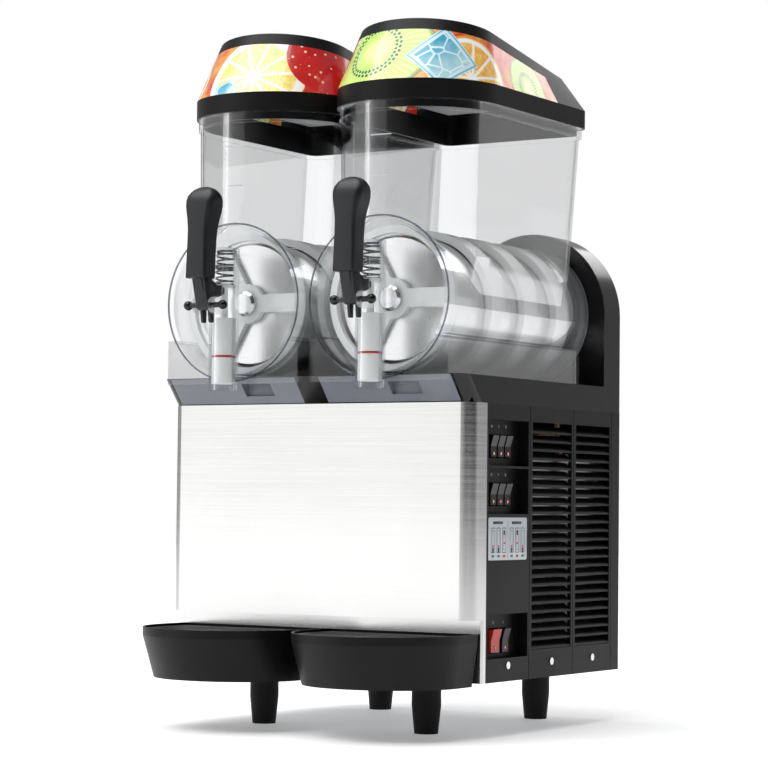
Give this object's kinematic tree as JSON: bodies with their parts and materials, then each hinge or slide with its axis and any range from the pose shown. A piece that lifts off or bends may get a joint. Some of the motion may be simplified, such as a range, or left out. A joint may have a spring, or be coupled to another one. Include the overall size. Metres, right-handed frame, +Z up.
{
  "type": "slushie machine",
  "caption": "Countertop slush dispenser: clear bowls with augers on chilled drums, lever taps, drip trays and a louvred cabinet on feet.",
  "frame": {"origin": "centre of the bounding box in plan, at the floor under the feet", "axes": "+Z up, front towards -Y (taps and drip trays), +X towards the control panel side"},
  "size_m": [0.393, 0.479, 0.7693],
  "materials": {
    "brushed_stainless": "satin brushed",
    "mirror_stainless": "polished",
    "galvanised_sheet": "satin",
    "black_gloss": "gloss",
    "black_moulding": "fine textured",
    "black_rubber": "matte",
    "black_enamel": "gloss enamel",
    "aluminium_fins": "bare",
    "copper": "bright",
    "circuit_board": "satin",
    "bright_steel": "bright",
    "grey_silicone": "matte",
    "white_acetal": "satin",
    "clear_polycarbonate": "clear, polished",
    "graphic_panel": "printed, back-lit",
    "lamp_housing": "satin",
    "red_rubber": "matte",
    "black_rocker": "gloss",
    "red_rocker": "gloss"
  },
  "bodies": {
    "cabinet": {"base_pan": "galvanised_sheet", "front_panel": "brushed_stainless", "apron_panel": "brushed_stainless", "deck": "black_gloss", "control_panel": "black_moulding", "right_louvre_middle": "black_moulding", "right_louvre_rear": "black_moulding", "left_louvre_panels": "black_moulding", "rear_panel": "black_moulding", "feet": "black_rubber", "compressor": "black_enamel", "condenser": "aluminium_fins", "fan_motor": "galvanised_sheet", "refrigerant_pipes": "copper", "control_board": "circuit_board", "mains_inlet": "black_rubber", "panel_screws": "bright_steel", "left_evaporator": "mirror_stainless", "left_gasket": "grey_silicone", "left_rear_tower": "black_gloss", "left_gearmotor": "galvanised_sheet", "right_evaporator": "mirror_stainless", "right_gasket": "grey_silicone", "right_rear_tower": "black_gloss", "right_gearmotor": "galvanised_sheet"},
    "fan": {"fan_blade": "black_moulding"},
    "left_auger_set": {"left_auger": "white_acetal", "left_drive_shaft": "bright_steel"},
    "left_bowl_set": {"left_bowl": "clear_polycarbonate", "left_lever_pin": "black_gloss", "left_spring": "bright_steel"},
    "left_lid": {"left_lid_shell": "black_moulding", "left_lid_panel": "graphic_panel", "left_lid_lamp": "lamp_housing"},
    "left_handle": {"left_lever": "black_moulding"},
    "left_valve": {"left_piston": "white_acetal", "left_o_ring": "red_rubber"},
    "left_tray": {"left_drip_tray": "black_moulding"},
    "left_grille": {"left_drip_grille": "black_moulding"},
    "right_auger_set": {"right_auger": "white_acetal", "right_drive_shaft": "bright_steel"},
    "right_bowl_set": {"right_bowl": "clear_polycarbonate", "right_lever_pin": "black_gloss", "right_spring": "bright_steel"},
    "right_lid": {"right_lid_shell": "black_moulding", "right_lid_panel": "graphic_panel", "right_lid_lamp": "lamp_housing"},
    "right_handle": {"right_lever": "black_moulding"},
    "right_valve": {"right_piston": "white_acetal", "right_o_ring": "red_rubber"},
    "right_tray": {"right_drip_tray": "black_moulding"},
    "right_grille": {"right_drip_grille": "black_moulding"},
    "left_freeze_rocker": {"left_freeze_rocker": "black_rocker"},
    "left_chill_rocker": {"left_chill_rocker": "black_rocker"},
    "left_mix_rocker": {"left_mix_rocker": "black_rocker"},
    "right_freeze_rocker": {"right_freeze_rocker": "black_rocker"},
    "right_chill_rocker": {"right_chill_rocker": "black_rocker"},
    "right_mix_rocker": {"right_mix_rocker": "black_rocker"},
    "power_rocker": {"power_rocker": "red_rocker"},
    "light_rocker": {"light_rocker": "black_rocker"}
  },
  "joints": [
    {"name": "fan_spin", "type": "hinge", "parent": "cabinet", "child": "fan", "pos_m": [0.12, 0.1145, 0.183], "axis": [1, 0, 0], "continuous": true},
    {"name": "left_auger_spin", "type": "hinge", "parent": "cabinet", "child": "left_auger_set", "pos_m": [-0.0945, -0.1135, 0.4669], "axis": [0, 1, 0], "continuous": true},
    {"name": "left_bowl_pull", "type": "slide", "parent": "cabinet", "child": "left_bowl_set", "axis": [0, -1, 0], "range_m": [0, 0.32]},
    {"name": "left_lid_lift", "type": "slide", "parent": "left_bowl_set", "child": "left_lid", "axis": [0, 0, 1], "range_m": [0, 0.25]},
    {"name": "left_lever_pull", "type": "hinge", "parent": "left_bowl_set", "child": "left_handle", "pos_m": [-0.0945, -0.1985, 0.46], "axis": [1, 0, 0], "range_deg": [0, 35]},
    {"name": "left_valve_lift", "type": "slide", "parent": "left_bowl_set", "child": "left_valve", "axis": [0, 0, 1], "range_m": [0, 0.021], "stiffness_N_per_m": 600, "springref_m": -0.012, "deforming": ["left_spring"]},
    {"name": "left_tray_pull", "type": "slide", "parent": "cabinet", "child": "left_tray", "axis": [0, -1, 0], "range_m": [0, 0.15]},
    {"name": "left_grille_lift", "type": "slide", "parent": "left_tray", "child": "left_grille", "axis": [0, 0, 1], "range_m": [0, 0.08]},
    {"name": "right_auger_spin", "type": "hinge", "parent": "cabinet", "child": "right_auger_set", "pos_m": [0.0945, -0.1135, 0.4669], "axis": [0, 1, 0], "continuous": true},
    {"name": "right_bowl_pull", "type": "slide", "parent": "cabinet", "child": "right_bowl_set", "axis": [0, -1, 0], "range_m": [0, 0.32]},
    {"name": "right_lid_lift", "type": "slide", "parent": "right_bowl_set", "child": "right_lid", "axis": [0, 0, 1], "range_m": [0, 0.25]},
    {"name": "right_lever_pull", "type": "hinge", "parent": "right_bowl_set", "child": "right_handle", "pos_m": [0.0945, -0.1985, 0.46], "axis": [1, 0, 0], "range_deg": [0, 35]},
    {"name": "right_valve_lift", "type": "slide", "parent": "right_bowl_set", "child": "right_valve", "axis": [0, 0, 1], "range_m": [0, 0.021], "stiffness_N_per_m": 600, "springref_m": -0.012, "deforming": ["right_spring"]},
    {"name": "right_tray_pull", "type": "slide", "parent": "cabinet", "child": "right_tray", "axis": [0, -1, 0], "range_m": [0, 0.15]},
    {"name": "right_grille_lift", "type": "slide", "parent": "right_tray", "child": "right_grille", "axis": [0, 0, 1], "range_m": [0, 0.08]},
    {"name": "left_freeze_rocker_tip", "type": "hinge", "parent": "cabinet", "child": "left_freeze_rocker", "pos_m": [0.181, -0.0561, 0.31], "axis": [0, -1, 0], "range_deg": [0, 16]},
    {"name": "left_chill_rocker_tip", "type": "hinge", "parent": "cabinet", "child": "left_chill_rocker", "pos_m": [0.181, -0.0405, 0.31], "axis": [0, -1, 0], "range_deg": [0, 16]},
    {"name": "left_mix_rocker_tip", "type": "hinge", "parent": "cabinet", "child": "left_mix_rocker", "pos_m": [0.181, -0.0249, 0.31], "axis": [0, -1, 0], "range_deg": [0, 16]},
    {"name": "right_freeze_rocker_tip", "type": "hinge", "parent": "cabinet", "child": "right_freeze_rocker", "pos_m": [0.181, -0.0561, 0.2585], "axis": [0, -1, 0], "range_deg": [0, 16]},
    {"name": "right_chill_rocker_tip", "type": "hinge", "parent": "cabinet", "child": "right_chill_rocker", "pos_m": [0.181, -0.0405, 0.2585], "axis": [0, -1, 0], "range_deg": [0, 16]},
    {"name": "right_mix_rocker_tip", "type": "hinge", "parent": "cabinet", "child": "right_mix_rocker", "pos_m": [0.181, -0.0249, 0.2585], "axis": [0, -1, 0], "range_deg": [0, 16]},
    {"name": "power_rocker_tip", "type": "hinge", "parent": "cabinet", "child": "power_rocker", "pos_m": [0.181, -0.0495, 0.102], "axis": [0, -1, 0], "range_deg": [0, 16]},
    {"name": "light_rocker_tip", "type": "hinge", "parent": "cabinet", "child": "light_rocker", "pos_m": [0.181, -0.0275, 0.102], "axis": [0, -1, 0], "range_deg": [0, 16]}
  ],
  "couplings": [
    {"joint": "left_valve_lift", "follows": "left_lever_pull", "m_per_rad": 0.032},
    {"joint": "right_valve_lift", "follows": "right_lever_pull", "m_per_rad": 0.032}
  ]
}
